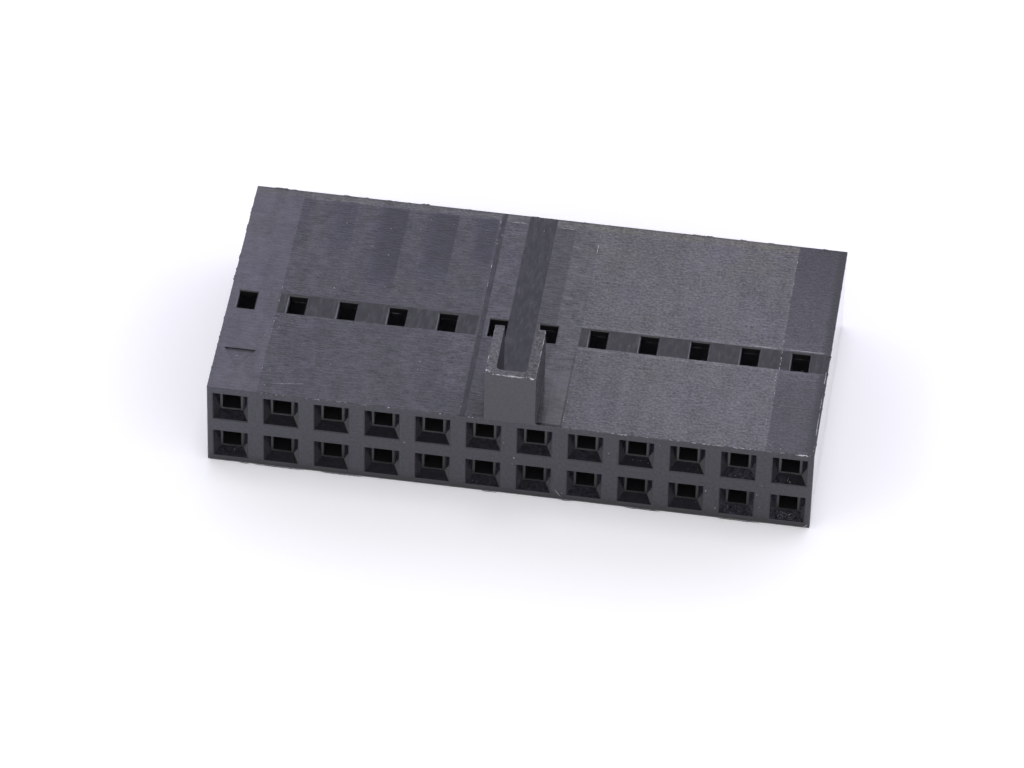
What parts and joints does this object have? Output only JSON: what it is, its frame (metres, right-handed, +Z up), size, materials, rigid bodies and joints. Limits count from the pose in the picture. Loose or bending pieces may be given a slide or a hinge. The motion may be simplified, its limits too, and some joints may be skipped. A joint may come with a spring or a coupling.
{
  "type": "connector housing",
  "caption": "Rectangular two-row crimp terminal housing with square pin funnels, lock windows, wire entries and a hollow polarising key on top.",
  "frame": {"origin": "centre of the bottom face's outline, on the surface that the housing lies on", "axes": "+X along the rows from column one, -Y out of the mating face, +Y out of the wire face, +Z up towards the key"},
  "size_m": [0.0304, 0.015, 0.0082],
  "materials": {
    "housing_plastic": "dark grey moulded plastic, satin, with spark-eroded texture on the long faces"
  },
  "bodies": {
    "root": {"housing": "housing_plastic"}
  },
  "joints": []
}
